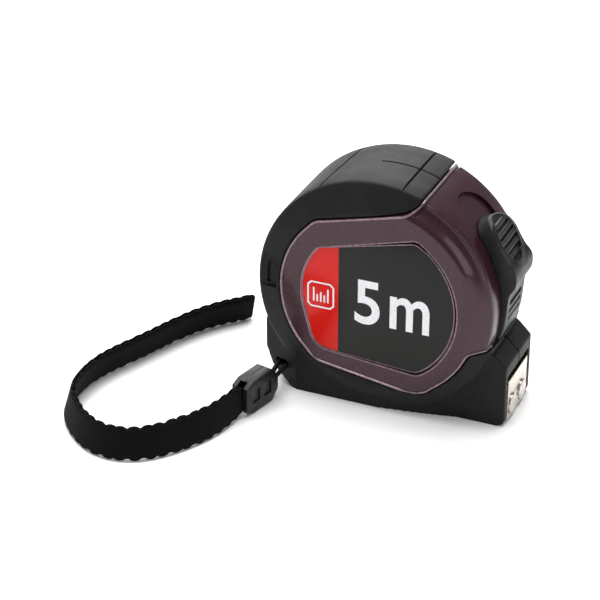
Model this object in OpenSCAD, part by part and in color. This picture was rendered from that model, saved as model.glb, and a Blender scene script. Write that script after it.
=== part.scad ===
// Pocket tape measure, 5 m by 19 mm, with a wrist strap.
// +X points out of the mouth, -Y to the near label, +Z up.
// The origin is on the flat base, under the reel's axis.

/* [Case] */
// Radius of the round case
case_r = 38; // [34:0.5:46]
// Thickness of the case over its two side faces
case_w = 36; // [34:0.5:44]
// Width of the rim between its side bevels
rim_w = 29; // [28:0.5:33]
// Radial width of each side bevel
bevel_in = 8; // [6:0.5:10]
// How far the flat base cuts into the round case
base_cut = 1; // [0.5:0.25:2]
// Thickness of the rubber grip
grip_t = 1.9; // [1.2:0.1:2.2]
// Thickness of the rigid shell under the rubber
shell_t = 2.6; // [2:0.1:3]
// Thickness of the shell's side wall
side_wall = 2.7; // [2.2:0.1:3.2]

/* [Nose and base] */
// How far the nose stands in front of the round case
nose_out = 2.75; // [1.5:0.25:4]
// Height of the nose above the blade
nose_rise = 13.36; // [12.5:0.02:16]
// Width of the nose
nose_w = 24; // [23.5:0.5:26]
// Size of the chamfer along the nose's top front edge
nose_chamfer = 4; // [2:0.5:5]
// Height of the mouth opening above the blade
mouth_rise = 5.36; // [4.5:0.02:6.5]
// Width of the flat base under the belly
base_w = 33; // [30:0.5:34]
// Height of the rear corner block
rear_h = 21; // [18:0.5:24]

/* [Side face] */
// Radius of the rear arc of the plum ring
ring_r = 29.7; // [28:0.1:30.5]
// Radius of the rear arc of the label
label_rear_r = 22.6; // [20:0.1:24]
// Radius of the front arc of the label
label_front_r = 26.4; // [25:0.1:28]
// Thickness of the label plate
label_t = 0.6; // [0.4:0.1:0.8]
// How deep the label lies below the ring
label_sink = 0.4; // [0.2:0.1:0.6]

/* [Blade and reel] */
// Width of the steel blade
blade_w = 19; // [15.5:0.05:19]
// Thickness of the coated blade
blade_t = 0.2; // [0.15:0.01:0.25]
// Radius of the blade's hollow section
blade_curve_r = 18; // [15:0.5:25]
// Length of the blade
blade_len = 5000; // [3000:500:5500]
// Space that one turn of the blade takes on the reel
wrap_t = 0.2; // [0.18:0.01:0.22]
// Outer radius of the reel drum
drum_r = 19; // [17:0.25:19.5]
// Wall of the reel drum
drum_wall = 1.6; // [1.2:0.1:2]
// Thickness of the drum's side discs
disc_t = 1.4; // [1:0.1:1.4]
// Diameter of the fixed spindle
spindle_d = 8; // [6:0.5:10]
// Thickness of the power spring's band
spring_t = 0.35; // [0.25:0.05:0.5]
// Turns of the power spring
spring_turns = 7; // [4:1:9]

/* [Hook] */
// Thickness of the hook's plate
hook_t = 1; // [0.8:0.1:1.2]
// Width of the hook
hook_w = 17.5; // [15:0.5:18]
// Height of the hook's top edge above the blade
hook_rise = 3.36; // [1:0.02:4]
// Travel of the hook on its rivets
hook_play = 1; // [0.8:0.1:1.2]
// Width of the hook's flange under the blade
flange_w = 13; // [10:0.5:14]
// Length of the hook's flange under the blade
flange_l = 13; // [12:0.5:15]
// Diameter of the hook rivets
rivet_d = 2.4; // [2:0.1:2.8]
// Diameter of the hook magnets
magnet_d = 6.5; // [5:0.1:7]
// Distance between the two magnets
magnet_pitch = 8.8; // [7.5:0.1:9.5]
// Height of the magnets above the base
magnet_z = 4.4; // [4.2:0.1:5.5]

/* [Lock] */
// Width of the thumb button
button_w = 16; // [13:0.5:17]
// Angle over which the button slides on the case
lock_travel = 10; // [6:0.5:10]
// Width of the brake arm inside the case
arm_w = 10; // [8:0.5:11]
// Thickness of the brake arm
arm_t = 3.3; // [2.5:0.1:3.5]
// Width of the stem that joins the button and the arm
stem_w = 6; // [5:0.5:7]

/* [Fasteners and clip] */
// Diameter of the case screws' threads
screw_d = 2.4; // [2:0.1:2.6]
// Diameter of the case screws' heads
screw_head_d = 4.4; // [4:0.1:4.6]
// Radius of the circle that the rim screws lie on
screw_circle_r = 30; // [29.5:0.1:30.5]
// Width of the belt clip
clip_w = 16; // [12:0.5:22]
// Thickness of the belt clip
clip_t = 1; // [0.8:0.1:1.2]
// Gap between the belt clip and the case
clip_gap = 4.5; // [4.3:0.1:6]

/* [Strap] */
// Width of the wrist strap
strap_w = 10; // [8:0.5:12]
// Thickness of the strap's two layers together
strap_t = 2.4; // [1.8:0.2:3]
// Diameter of the anchor cord
cord_d = 1.6; // [1.2:0.1:2]
// Diameter of the anchor pin
pin_d = 2; // [1.6:0.1:2.4]
// Length of the strap clamp
clamp_l = 15.5; // [15:0.5:20]
// Height of the strap clamp
clamp_h = 11; // [11:0.5:13]
// Thickness of the strap clamp
clamp_t = 5.6; // [5.4:0.1:6.5]

/* [Fits] */
// Clearance of a pin or shaft that turns or slides in its bore
run_gap = 0.05; // [0.02:0.01:0.1]
// Clearance around loose and sliding pieces
slip_gap = 0.15; // [0.1:0.05:0.3]

/* [Hidden] */
$fn = 72;
eps = 0.01;
axis_h = case_r - base_cut;
half_w = case_w / 2;
rim_half = rim_w / 2;
crown = 0.6;                            // how far the rim falls towards its edges
cav_r = case_r - grip_t - shell_t;      // radius of the hollow inside
cav_half = half_w - side_wall;
nose_x = case_r + nose_out;
nose_top_l = 10;                        // length of the nose's flat top and chamfer
rear_x = case_r - 1;
nose_grip_t = 1;                        // rubber on the nose's flanks

coil_r = sqrt(drum_r * drum_r + blade_len * wrap_t / PI);
blade_z = axis_h - coil_r - blade_t - 0.1;
nose_h = blade_z + nose_rise;
mouth_h = blade_z + mouth_rise;
hook_top = blade_z + hook_rise;
blade_x0 = 13;                          // where the blade has taken its hollow section
hook_back = nose_x - hook_t;
blade_x1 = hook_back - slip_gap;
floor_z = blade_z - 2.3;
channel_half = blade_w / 2 + 0.3;
brake_half = arm_w / 2 + 0.8;
guide_x0 = 25;
guide_half = channel_half - 0.9;
bumper_t = 2;
flange_t = 0.9 * hook_t;
rivet_x = [hook_back - 8.5, hook_back - 3.6];
rivet_head_d = rivet_d + 1.4;
rivet_head_t = 0.5;

spindle_r = spindle_d / 2;
boss_r = spindle_r + 3;
boss_face = 12;                         // inner end of the spindle bosses
reel_half = blade_w / 2 + 0.3;

track_r = case_r - 2;                   // floor of the button's track
track_half = button_w / 2 + 0.3;
track_from = -17;
track_to = 58;
button_from = -15;
button_to = 43;
arm_r1 = cav_r - 0.7;
arm_r0 = arm_r1 - arm_t;
arm_top = 2;
stem_from = -6;
stem_to = 1;
pad_r1 = case_r;
pad_r0 = pad_r1 - 4;
pad_half = arm_w / 2 - 0.5;
blade_inner_r = blade_curve_r - blade_t;
pad_rise = blade_inner_r - sqrt(pow(blade_inner_r, 2) - pow(pad_half, 2));
pad_end = -asin((axis_h - blade_z - blade_t - pad_rise - run_gap) / pad_r1);
arm_end = pad_end + 2.2;                // angle at which the arm's foot ends

rim_screws = [62, 128, 205];
nose_screw = [20, 4.8];
screw_boss_r = 3;
rim_seat = half_w - 5;                  // under the heads of the rim screws
nose_seat = nose_w / 2 - 2.5;           // under the head of the nose screw
screw_tip = 8;                          // how far the screws reach into the left half

clip_top_z = axis_h + 28.5;
clip_seat_z = axis_h + 14;
clip_low_z = axis_h - 22;
clip_screw_z = axis_h + 20.5;
clip_screw_d = 3;

clamp_turn = -103;
clamp_z = clamp_h / 2 + 0.2;
clamp_point = 3;                        // length of each pointed end
anchor_pin = [-rear_x + 6.5, -rim_half + 4.5];
anchor_z = 7.5;
clamp_at = anchor_pin + [-2.5, -19.5];
anchor_r = (pin_d + cord_d) / 2 + 0.15;
strand_off = cord_d / 2 + 0.05;         // half the spacing of the cord's strands in the clamp
pocket_half = cord_d / 2 + 0.8;         // of the pocket's height
pocket_reach = anchor_r + cord_d / 2 + 0.35;

strap_z = 5.2;
strap_lean = 16;
strap_shift = clamp_at - [-33, -29.5];   // the strap keeps to its clamp
strap_points = [
  [-34.8, -37.2, 5.8], [-35.6, -42.5, 5.6], [-37, -48.5, 5.4], [-39.5, -54.5, strap_z],
  [-43, -60.5, strap_z], [-47, -66, strap_z], [-52, -70.5, strap_z],
  [-58, -72.7, strap_z], [-64.5, -72.3, strap_z], [-70.5, -69.5, strap_z],
  [-76, -65, strap_z], [-80.5, -59.5, strap_z], [-83.3, -53, strap_z],
  [-84.2, -46, strap_z], [-83.8, -39, strap_z], [-82, -32, strap_z],
  [-79.3, -25, strap_z], [-76.4, -18, strap_z], [-73.8, -11, strap_z],
  [-71, -4, strap_z], [-67.5, 3, strap_z], [-63, 9.5, strap_z],
  [-58.5, 14.5, strap_z], [-56, 17.5, strap_z]
];

plum = "#4a2f36";
rubber = "#262627";
charcoal = "#2b2c27";
steel = "#c9c9c6";
black = "#161616";

// ---------- points and outlines ----------

// A point at an angle on a circle about the reel's axis, in X and Z
function at(angle, r) = [r * cos(angle), axis_h + r * sin(angle)];

// Points along a circle about the reel's axis
function arc(r, from, to, n = 16) = [for (i = [0:n]) at(from + (to - from) * i / n, r)];

function unit(v) = v / norm(v);

// Points that round the corner b between a and c
function rounded(a, b, c, r, n = 6) =
  let (
    u = unit(a - b),
    v = unit(c - b),
    half = acos(u * v) / 2,
    mid = b + unit(u + v) * r / sin(half),
    p = b + u * r / tan(half),
    q = b + v * r / tan(half),
    pa = atan2(p.y - mid.y, p.x - mid.x),
    turn = atan2(q.y - mid.y, q.x - mid.x) - pa,
    short = turn > 180 ? turn - 360 : turn < -180 ? turn + 360 : turn
  )
  [for (i = [0:n]) mid + r * [cos(pa + short * i / n), sin(pa + short * i / n)]];

label_points =
  let (
    tail = at(137, label_rear_r),
    top = at(59, label_front_r + 0.3),
    toe = at(304, label_front_r),
    heel = at(226, label_rear_r + 3.7)
  )
  concat(
    rounded(toe, heel, at(196, label_rear_r + 0.3), 6),
    arc(label_rear_r, 194, 140),
    rounded(tail, top, at(50, label_front_r), 3),
    arc(label_front_r, 49, -46),
    rounded(at(-48, label_front_r), toe, heel, 5)
  );

plum_points =
  let (
    low_r = ring_r + 2.7,
    front_low = at(-14.5, case_r + 1),
    step = at(-21.8, low_r + 0.1),
    toe = at(299, low_r + 1.1),
    heel = at(232.5, ring_r + 0.5),
    valley = at(68.2, ring_r + 3.9)
  )
  concat(
    [[nose_x + 10, front_low.y], front_low],
    rounded(front_low, step, at(-30, low_r), 2.5),
    arc(low_r, -30, -53),
    rounded(at(-54, low_r), toe, heel, 6),
    rounded(toe, heel, at(218, ring_r), 7),
    arc(ring_r, 218, 136),
    rounded(at(138, ring_r), at(129, ring_r + 0.3), valley, 6),
    rounded(at(129, ring_r + 0.3), valley, at(68, case_r + 10), 8),
    [at(68, case_r + 10), [nose_x + 10, axis_h + case_r + 10]]
  );

base_points = function (inset) [
  [-rear_x + inset, rear_h],
  [-rear_x + inset, 11],
  [-rear_x + 2.5 + inset * 0.8, 5.5],
  [-rear_x + 10, inset],
  [nose_x - inset, inset],
  [nose_x - inset, nose_h - nose_chamfer - inset * 0.4],
  [nose_x - nose_chamfer - inset * 0.4, nose_h - inset],
  [nose_x - nose_top_l, nose_h - inset],
  [0, axis_h]
];

base_plan = function (inset) [
  [-case_r, eps],
  [-case_r, -rim_half + 2.5 + inset],
  [-rear_x + 6, -rim_half + inset],
  [-rear_x + 12, -base_w / 2 + inset],
  [2, -base_w / 2 + inset],
  [15, -rim_half + inset],
  [27, -nose_w / 2 + min(inset, nose_grip_t)],
  [nose_x + 1, -nose_w / 2 + min(inset, nose_grip_t)],
  [nose_x + 1, eps]
];

// ---------- building blocks ----------

// An outline in X and Z, drawn out along Y
module slab(points, from, to) {
  translate([0, to, 0])
    rotate([90, 0, 0])
      linear_extrude(to - from)
        polygon(points);
}

// A profile of radius and distance towards -Y, turned about the reel's axis
module turned(profile) {
  translate([0, 0, axis_h])
    rotate([90, 0, 0])
      rotate_extrude()
        polygon(profile);
}

// A round bar along Y about the point p in X and Z
module bar(p, r, from, to) {
  translate([p.x, to, p.y])
    rotate([90, 0, 0])
      cylinder(r = r, h = to - from);
}

// A ring about the reel's axis, as a slice between two angles
module slice(r0, r1, from, to, half) {
  intersection() {
    difference() {
      bar([0, axis_h], r1, -half, half);
      bar([0, axis_h], r0, -half - 1, half + 1);
    }
    slab([[0, axis_h], at(from, 3 * r1), at((from + to) / 2, 3 * r1), at(to, 3 * r1)],
      -half - 2, half + 2);
  }
}

// A slice whose upper end is a half circle in plan
module arched_slice(r0, r1, from, to, half) {
  middle = to - asin(half / r0);
  intersection() {
    slice(r0, r1, from, to + 2, half + 1);
    union() {
      slice(r0 - 1, r1 + 1, from - 1, middle + 0.5, half);
      translate([0, 0, axis_h])
        rotate([0, -middle, 0])
          translate([r0 - 3, 0, 0])
            rotate([0, 90, 0])
              cylinder(r = half, h = r1 - r0 + 6);
    }
  }
}

// A trough-shaped strip along X under the blade, between two radii
module trough(r0, r1, w, x0, x1) {
  centre_z = blade_z + blade_curve_r;
  intersection() {
    difference() {
      translate([x0, 0, centre_z])
        rotate([0, 90, 0])
          cylinder(r = r1, h = x1 - x0, $fn = 144);
      translate([x0 - 1, 0, centre_z])
        rotate([0, 90, 0])
          cylinder(r = r0, h = x1 - x0 + 2, $fn = 144);
    }
    translate([x0 - 1, -w / 2, centre_z - r1 - 1])
      cube([x1 - x0 + 2, w, r1]);
  }
}

// ---------- the case, as its half on the -Y side ----------

module round_half(inset) {
  turned([
    [0, 0],
    [case_r - inset, 0],
    [case_r - inset, rim_half - 3.5],
    [case_r - crown - inset, rim_half - inset * 0.6],
    [case_r - crown - bevel_in - inset * 0.5, half_w - inset],
    [0, half_w - inset]
  ]);
}

module base_half(inset) {
  intersection() {
    slab(base_points(inset), -half_w, 0);
    linear_extrude(axis_h)
      polygon(base_plan(inset));
  }
}

module body_half(inset) {
  difference() {
    union() {
      round_half(inset);
      base_half(inset);
    }
    translate([-2 * case_r, -case_w, inset - 10])
      cube([4 * case_r, 2 * case_w, 10]);
  }
}

// The zone in which the shell comes up to the rubber's face
module plum_zone() {
  slab(plum_points, -half_w - 1, 1);
}

module cavity() {
  turned([
    [0, -1],
    [cav_r, -1],
    [cav_r, rim_half - 3.5],
    [cav_r - bevel_in, cav_half],
    [0, cav_half]
  ]);
}

// The blade's way out, the recess for the hook and the room for the brake
module mouth() {
  top = nose_h - grip_t - 1;
  slab([[17, floor_z], [nose_x + 1, floor_z], [nose_x + 1, mouth_h], [17, mouth_h]],
    -channel_half, channel_half);
  slab([[20, floor_z], [nose_x - 4, floor_z], [nose_x - 4, top - 3], [nose_x - 7, top],
    [24, top]], -brake_half, brake_half);
  translate([hook_back - 0.1, -hook_w / 2 - 0.35, -1])
    cube([hook_t + 2, hook_w + 0.7, mouth_h + 1]);
  slab([[guide_x0, 2.5], [hook_back, 2.5], [hook_back, floor_z + 1], [guide_x0, floor_z + 1]],
    -guide_half, guide_half);
}

// The track that the button slides in, with its arched upper end
module button_track() {
  arched_slice(track_r, case_r + 20, track_from, track_to, track_half);
  slice(cav_r - 1, track_r + 1, stem_from - 3, stem_to + lock_travel + 2, stem_w / 2 + 0.4);
}

// Pocket in the rear corner, where the strap's cord goes round its pin
module anchor_pocket() {
  translate([anchor_pin.x - pocket_reach, -case_w, anchor_z - pocket_half])
    cube([2 * pocket_reach, case_w + anchor_pin.y + pocket_reach, 2 * pocket_half]);
}

// Each screw's axis, with its seat's distance from the joint of the halves in $seat
module screw_places() {
  for (a = rim_screws)
    translate([at(a, screw_circle_r).x, 0, at(a, screw_circle_r).y])
      rotate([90, 0, 0]) {
        $seat = rim_seat;
        children();
      }
  translate([nose_screw.x, 0, nose_screw.y])
    rotate([90, 0, 0]) {
      $seat = nose_seat;
      children();
    }
}

module shell_half() {
  difference() {
    union() {
      difference() {
        union() {
          body_half(grip_t);
          intersection() {
            body_half(0);
            plum_zone();
          }
        }
        cavity();
      }
      intersection() {
        body_half(grip_t);
        for (a = rim_screws)
          bar(at(a, screw_circle_r), screw_boss_r, -half_w, 0);
      }
      bar([0, axis_h], boss_r, -cav_half - 0.5, -boss_face);
    }
    mouth();
    button_track();
    slab(label_points, -half_w - 1, -half_w + label_sink + label_t);
    bar([0, axis_h], spindle_r + run_gap, -cav_half, 0);
  }
}

module grip_half() {
  difference() {
    body_half(0);
    body_half(grip_t);
    plum_zone();
    mouth();
    button_track();
  }
}

module left_shell() {
  color(plum)
    difference() {
      shell_half();
      anchor_pocket();
      anchor_bore();
      screw_places()
        translate([0, 0, -1])
          cylinder(r = screw_d / 2 + run_gap, h = screw_tip + 2);
    }
}

module right_shell() {
  color(plum)
    difference() {
      mirror([0, 1, 0])
        shell_half();
      screw_places()
        translate([0, 0, -half_w])
          cylinder(r = screw_d / 2 + 0.2, h = half_w + 1);
      screw_places()
        translate([0, 0, -half_w - 1])
          cylinder(r = screw_head_d / 2 + 0.2, h = half_w + 1 - $seat);
      bar([0, clip_screw_z], clip_screw_d / 2 + run_gap, 0, half_w + 1);
    }
}

module anchor_bore() {
  translate([anchor_pin.x, anchor_pin.y, anchor_z])
    cylinder(r = pin_d / 2 + run_gap, h = 2 * pocket_half + 3.2, center = true);
}

module left_grip() {
  color(rubber)
    difference() {
      grip_half();
      anchor_pocket();
      anchor_bore();
    }
}

module right_grip() {
  color(rubber)
    difference() {
      mirror([0, 1, 0])
        grip_half();
      screw_places()
        translate([0, 0, -half_w - 1])
          cylinder(r = screw_head_d / 2 + 0.2, h = half_w + 1 - $seat);
    }
}

module left_label() {
  color(charcoal)
    slab(label_points, -half_w + label_sink, -half_w + label_sink + label_t);
}

module right_label() {
  color(charcoal)
    difference() {
      mirror([0, 1, 0])
        slab(label_points, -half_w + label_sink, -half_w + label_sink + label_t);
      bar([0, clip_screw_z], clip_screw_d / 2 + 0.3, 0, half_w + 1);
    }
}

module mouth_guide() {
  color(black)
    difference() {
      slab([[guide_x0, 2.5], [hook_back - 0.1, 2.5], [hook_back - 0.1, floor_z],
        [guide_x0, floor_z]], -guide_half, guide_half);
      bumper_block();
    }
}

module bumper_block() {
  slab([[hook_back - 0.1 - bumper_t, 3.5], [hook_back - 0.1, 3.5],
    [hook_back - 0.1, floor_z - 1], [hook_back - 0.1 - bumper_t, floor_z - 1]], -6, 6);
}

module hook_bumper() {
  color("#333333")
    bumper_block();
}

module case_screws() {
  color(steel)
    difference() {
      screw_places() {
        translate([0, 0, -$seat - 1.8])
          cylinder(r = screw_head_d / 2, h = 1.8);
        translate([0, 0, -$seat])
          cylinder(r = screw_d / 2, h = $seat + screw_tip);
      }
      screw_places()
        translate([0, 0, -$seat - 2.8])
          for (turn = [0, 90])
            rotate(turn)
              translate([-1.2, -0.3, 0])
                cube([2.4, 0.6, 2]);
    }
}

// ---------- the reel ----------

module spindle() {
  color(steel)
    difference() {
      bar([0, axis_h], spindle_r, -cav_half + 0.1, cav_half - 0.1);
      translate([-spindle_r - 1, -reel_half + 0.3, axis_h - 0.35])
        cube([spindle_r + 1, 2 * reel_half - 0.6, 0.7]);
    }
}

module reel_drum() {
  color("#d8d8d2")
    difference() {
      union() {
        bar([0, axis_h], drum_r, -reel_half, reel_half + disc_t);
        bar([0, axis_h], spindle_r + 2.5, reel_half, boss_face - 0.1);
      }
      bar([0, axis_h], drum_r - drum_wall, -reel_half - 1, reel_half);
      bar([0, axis_h], spindle_r + run_gap, -half_w, half_w);
    }
}

module reel_cover() {
  color("#d8d8d2")
    difference() {
      union() {
        bar([0, axis_h], drum_r, -reel_half - disc_t, -reel_half);
        bar([0, axis_h], spindle_r + 2.5, -boss_face + 0.1, -reel_half);
      }
      bar([0, axis_h], spindle_r + run_gap, -half_w, half_w);
    }
}

module power_spring() {
  r0 = spindle_r + 0.6;
  r1 = drum_r - drum_wall - spring_t - 0.2;
  steps = spring_turns * 24;
  inner = [for (i = [0:steps]) at(180 - 15 * i, r0 + (r1 - r0) * i / steps)];
  outer = [for (i = [steps:-1:0])
    at(180 - 15 * i, r0 + (r1 - r0) * i / steps + spring_t)];
  color("#6d7480") {
    slab(concat(inner, outer), -reel_half + 0.6, reel_half - 0.6);
    slab([[-r0 - spring_t, axis_h - 0.15], [-1, axis_h - 0.15], [-1, axis_h + 0.15],
      [-r0 - spring_t, axis_h + 0.15]], -reel_half + 0.6, reel_half - 0.6);
  }
}

module blade_coil() {
  color("#d9b23a")
    difference() {
      bar([0, axis_h], coil_r, -blade_w / 2, blade_w / 2);
      bar([0, axis_h], drum_r, -blade_w, blade_w);
    }
}

// ---------- the blade and its hook ----------

module blade_tongue() {
  color("#e2bd3c")
    difference() {
      union() {
        trough(blade_curve_r - blade_t, blade_curve_r, blade_w, blade_x0, blade_x1);
        translate([0.5, -blade_w / 2, blade_z])
          cube([blade_x0 - 0.5, blade_w, blade_t]);
        translate([blade_x0 - eps, -2, blade_z])
          cube([2, 4, blade_t]);
      }
      for (x = rivet_x)
        translate([x, 0, blade_z - 1])
          cylinder(r = rivet_d / 2 + run_gap, h = 3);
    }
}

module hook_rivets() {
  shank_low = blade_z - slip_gap - flange_t - slip_gap;
  color(steel)
    for (x = rivet_x)
      translate([x, 0, 0]) {
        translate([0, 0, shank_low])
          cylinder(r = rivet_d / 2, h = blade_z + blade_t + slip_gap - shank_low);
        translate([0, 0, blade_z + blade_t + slip_gap])
          cylinder(r = rivet_head_d / 2, h = rivet_head_t);
        translate([0, 0, shank_low - rivet_head_t])
          cylinder(r = rivet_head_d / 2, h = rivet_head_t);
      }
}

module end_hook() {
  r0 = blade_curve_r + slip_gap;
  color(steel)
    difference() {
      union() {
        trough(r0, r0 + flange_t, flange_w, hook_back - flange_l, hook_back + eps);
        slab([[hook_back, 0.4], [nose_x, 0.4], [nose_x, hook_top], [hook_back, hook_top]],
          -hook_w / 2, hook_w / 2);
      }
      for (x = rivet_x)
        rivet_slot(x);
      for (side = [-1, 1])
        translate([hook_back - 1, side * magnet_pitch / 2, magnet_z])
          rotate([0, 90, 0])
            cylinder(r = magnet_d / 2 + run_gap, h = hook_t + 2);
      translate([hook_back - 1, 0, magnet_z + 0.2])
        rotate([0, 90, 0])
          cylinder(r = 0.9, h = hook_t + 2);
    }
}

// Slot in which the hook can move out by its play
module rivet_slot(x) {
  r = rivet_d / 2 + run_gap;
  translate([x, 0, blade_z - 3]) {
    translate([-hook_play, 0, 0])
      cylinder(r = r, h = 4);
    cylinder(r = r, h = 4);
    translate([-hook_play, -r, 0])
      cube([hook_play, 2 * r, 4]);
  }
}

module hook_magnets() {
  color("#e4e2dd")
    for (side = [-1, 1])
      translate([hook_back, side * magnet_pitch / 2, magnet_z])
        rotate([0, 90, 0])
          cylinder(r = magnet_d / 2, h = hook_t + 0.5);
}

// ---------- the lock ----------

button_face = concat(
  [at(button_to, track_r + 0.8), at(41.5, case_r + 1), at(39, case_r + 2.2)],
  arc(case_r + 3, 36, 21, 6),
  [at(18.5, case_r + 4.4), at(16.5, case_r + 4.8), at(14, case_r + 4.4)],
  [at(11, case_r + 3), at(7.5, case_r + 1.2), at(1, case_r + 0.6)],
  [at(button_from, case_r + 0.1)]
);

module lock_button() {
  ridge_angles = [for (i = [0:4]) 21.5 + 3.7 * i];
  color(black)
    difference() {
      union() {
        intersection() {
          slab(concat(arc(track_r + slip_gap, button_from, button_to, 24), button_face),
            -button_w / 2, button_w / 2);
          arched_slice(track_r, case_r + 10, button_from - 2, button_to, button_w / 2);
        }
        for (a = ridge_angles)
          bar(at(a, case_r + 2.9), 0.8, -button_w / 2 + 2.2, button_w / 2 - 2.2);
      }
      slice(track_r - 1, case_r - 0.35, stem_from, stem_to, stem_w / 2 + run_gap);
    }
}

module brake_arm() {
  color("#3a3a3c") {
    slice(arm_r0, arm_r1, arm_end, arm_top, arm_w / 2);
    slice(arm_r1 - 0.5, case_r - 0.4, stem_from, stem_to, stem_w / 2);
    slice(arm_r1 - 0.5, pad_r1, arm_end, arm_end + 0.4, arm_w / 2);
  }
}

module brake_pad() {
  color("#1f1f1f")
    slice(pad_r0, pad_r1, pad_end, arm_end, pad_half);
}

// Leaf against the case's inner wall that holds the arm where it is put
module detent_spring() {
  color(steel)
    slice(cav_r - 0.3, cav_r, -21, -10, 2.4);
}

// ---------- the belt clip ----------

module belt_clip() {
  out = half_w + clip_gap;
  color(steel)
    difference() {
      translate([-clip_w / 2, 0, 0])
        rotate([90, 0, 90])
          linear_extrude(clip_w)
            polygon([
              [half_w, clip_top_z], [half_w + clip_t, clip_top_z],
              [half_w + clip_t, clip_seat_z], [out + clip_t, clip_seat_z - 6],
              [out + clip_t, clip_low_z + 9], [half_w + 0.3 + clip_t, clip_low_z + 3],
              [out - 1 + clip_t, clip_low_z - 2], [out - 1.6, clip_low_z - 2],
              [half_w + 0.3, clip_low_z + 3], [out, clip_low_z + 9.5],
              [out, clip_seat_z - 6.4], [half_w, clip_seat_z]
            ]);
      bar([0, clip_screw_z], clip_screw_d / 2 + 0.2, 0, out + 5);
    }
}

module clip_screw() {
  color(steel)
    difference() {
      union() {
        bar([0, clip_screw_z], clip_screw_d / 2, cav_half - 0.5, half_w + clip_t);
        bar([0, clip_screw_z], clip_screw_d, half_w + clip_t, half_w + clip_t + 1.4);
      }
      for (half = [[1.5, 0.35], [0.35, 1.5]])
        translate([-half.x, half_w + clip_t + 0.5, clip_screw_z - half.y])
          cube([2 * half.x, 2, 2 * half.y]);
    }
}

// ---------- the strap ----------

module anchor_rod() {
  color(steel)
    translate([anchor_pin.x, anchor_pin.y, anchor_z])
      cylinder(r = pin_d / 2, h = 2 * pocket_half + 3, center = true);
}

// A tube swept along a route, from rings that share one section
module sweep(route, section, lean) {
  n = len(section);
  last = len(route) - 1;
  rings = [for (i = [0:last])
    let (
      p = route[i],
      d = unit(route[min(i + 1, last)] - route[max(i - 1, 0)]),
      side = unit([d.y, -d.x, 0]),
      up = unit(cross(side, d)),
      a = lean * min(1, i / 4)
    )
    for (s = section)
      p + side * (s.x * cos(a) - s.y * sin(a)) + up * (s.x * sin(a) + s.y * cos(a))];
  sides = [for (i = [0:last - 1]) for (j = [0:n - 1])
    [i * n + j, i * n + (j + 1) % n, (i + 1) * n + (j + 1) % n, (i + 1) * n + j]];
  start = [for (j = [n - 1:-1:0]) j];
  finish = [for (j = [0:n - 1]) last * n + j];
  polyhedron(points = rings, faces = concat(sides, [start, finish]));
}

module wrist_strap() {
  strap_route = [for (p = strap_points) p + [strap_shift.x, strap_shift.y, 0]];
  t = strap_t / 2;
  w = strap_w / 2;
  color("#0c0c0c")
    sweep(strap_route,
      [[t, w - 0.5], [t - 0.5, w], [-t + 0.5, w], [-t, w - 0.5],
        [-t, -w + 0.5], [-t + 0.5, -w], [t - 0.5, -w], [t, -w + 0.5]],
      -strap_lean);
}

// The cord that ties the clamp to the case: two strands and a bend round the pin
module anchor_cord() {
  along = [cos(clamp_turn), sin(clamp_turn)];
  across = [-along.y, along.x] * strand_off;
  inside = clamp_at - along * (clamp_l / 2 - 4);
  outside = clamp_at - along * (clamp_l / 2 + 1.5);
  dir = unit(outside - anchor_pin);
  off = [-dir.y, dir.x] * anchor_r;
  start = atan2(off.y, off.x);
  bend = [for (i = [1:7]) anchor_pin + anchor_r * [cos(start + 22.5 * i), sin(start + 22.5 * i)]];
  low = concat([anchor_pin + off], bend, [anchor_pin - off]);
  path = concat(
    [for (p = [inside, outside]) [p.x + across.x, p.y + across.y, clamp_z]],
    [for (p = low) [p.x, p.y, anchor_z]],
    [for (p = [outside, inside]) [p.x - across.x, p.y - across.y, clamp_z]]
  );
  color("#101010")
    sweep(path, [for (j = [0:7]) cord_d / 2 * [cos(45 * j), sin(45 * j)]], 0);
}

module clamp_solid() {
  l = clamp_l / 2;
  h = clamp_h / 2;
  rotate([90, 0, 0])
    linear_extrude(clamp_t, center = true)
      polygon([
        [-l, -h + 3.2], [-l + clamp_point, -h], [l - clamp_point, -h], [l, -h + 1.4],
        [l, h - 1.4], [l - clamp_point, h], [-l + clamp_point, h], [-l, h - 3.2]
      ]);
}

module clamp_half(side) {
  color(black)
    translate([clamp_at.x, clamp_at.y, clamp_z])
      rotate([0, 0, clamp_turn])
        difference() {
          intersection() {
            clamp_solid();
            translate([-clamp_l, side > 0 ? 0 : -clamp_t, -clamp_h])
              cube([2 * clamp_l, clamp_t, 2 * clamp_h]);
          }
          translate([0, -strap_t / 2 - 0.1, -strap_w / 2 - 0.15])
            cube([clamp_l, strap_t + 0.2, strap_w + 0.3]);
          translate([-clamp_l, -cord_d - slip_gap, -cord_d / 2 - slip_gap])
            cube([clamp_l + eps, 2 * (cord_d + slip_gap), cord_d + 2 * slip_gap]);
          for (x = [-4.4, 1.2])
            translate([x, side > 0 ? clamp_t / 2 - 0.6 : -clamp_t / 2 - 0.4, -2.2])
              cube([3.6, 1, 4.4]);
        }
}

module clamp_front() {
  clamp_half(1);
}

module clamp_back() {
  clamp_half(-1);
}

left_shell();
right_shell();
left_grip();
right_grip();
left_label();
right_label();
mouth_guide();
hook_bumper();
case_screws();
spindle();
reel_drum();
reel_cover();
power_spring();
blade_coil();
blade_tongue();
hook_rivets();
end_hook();
hook_magnets();
lock_button();
brake_arm();
brake_pad();
detent_spring();
belt_clip();
clip_screw();
anchor_rod();
anchor_cord();
clamp_front();
clamp_back();
wrist_strap();
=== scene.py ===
import math

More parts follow.
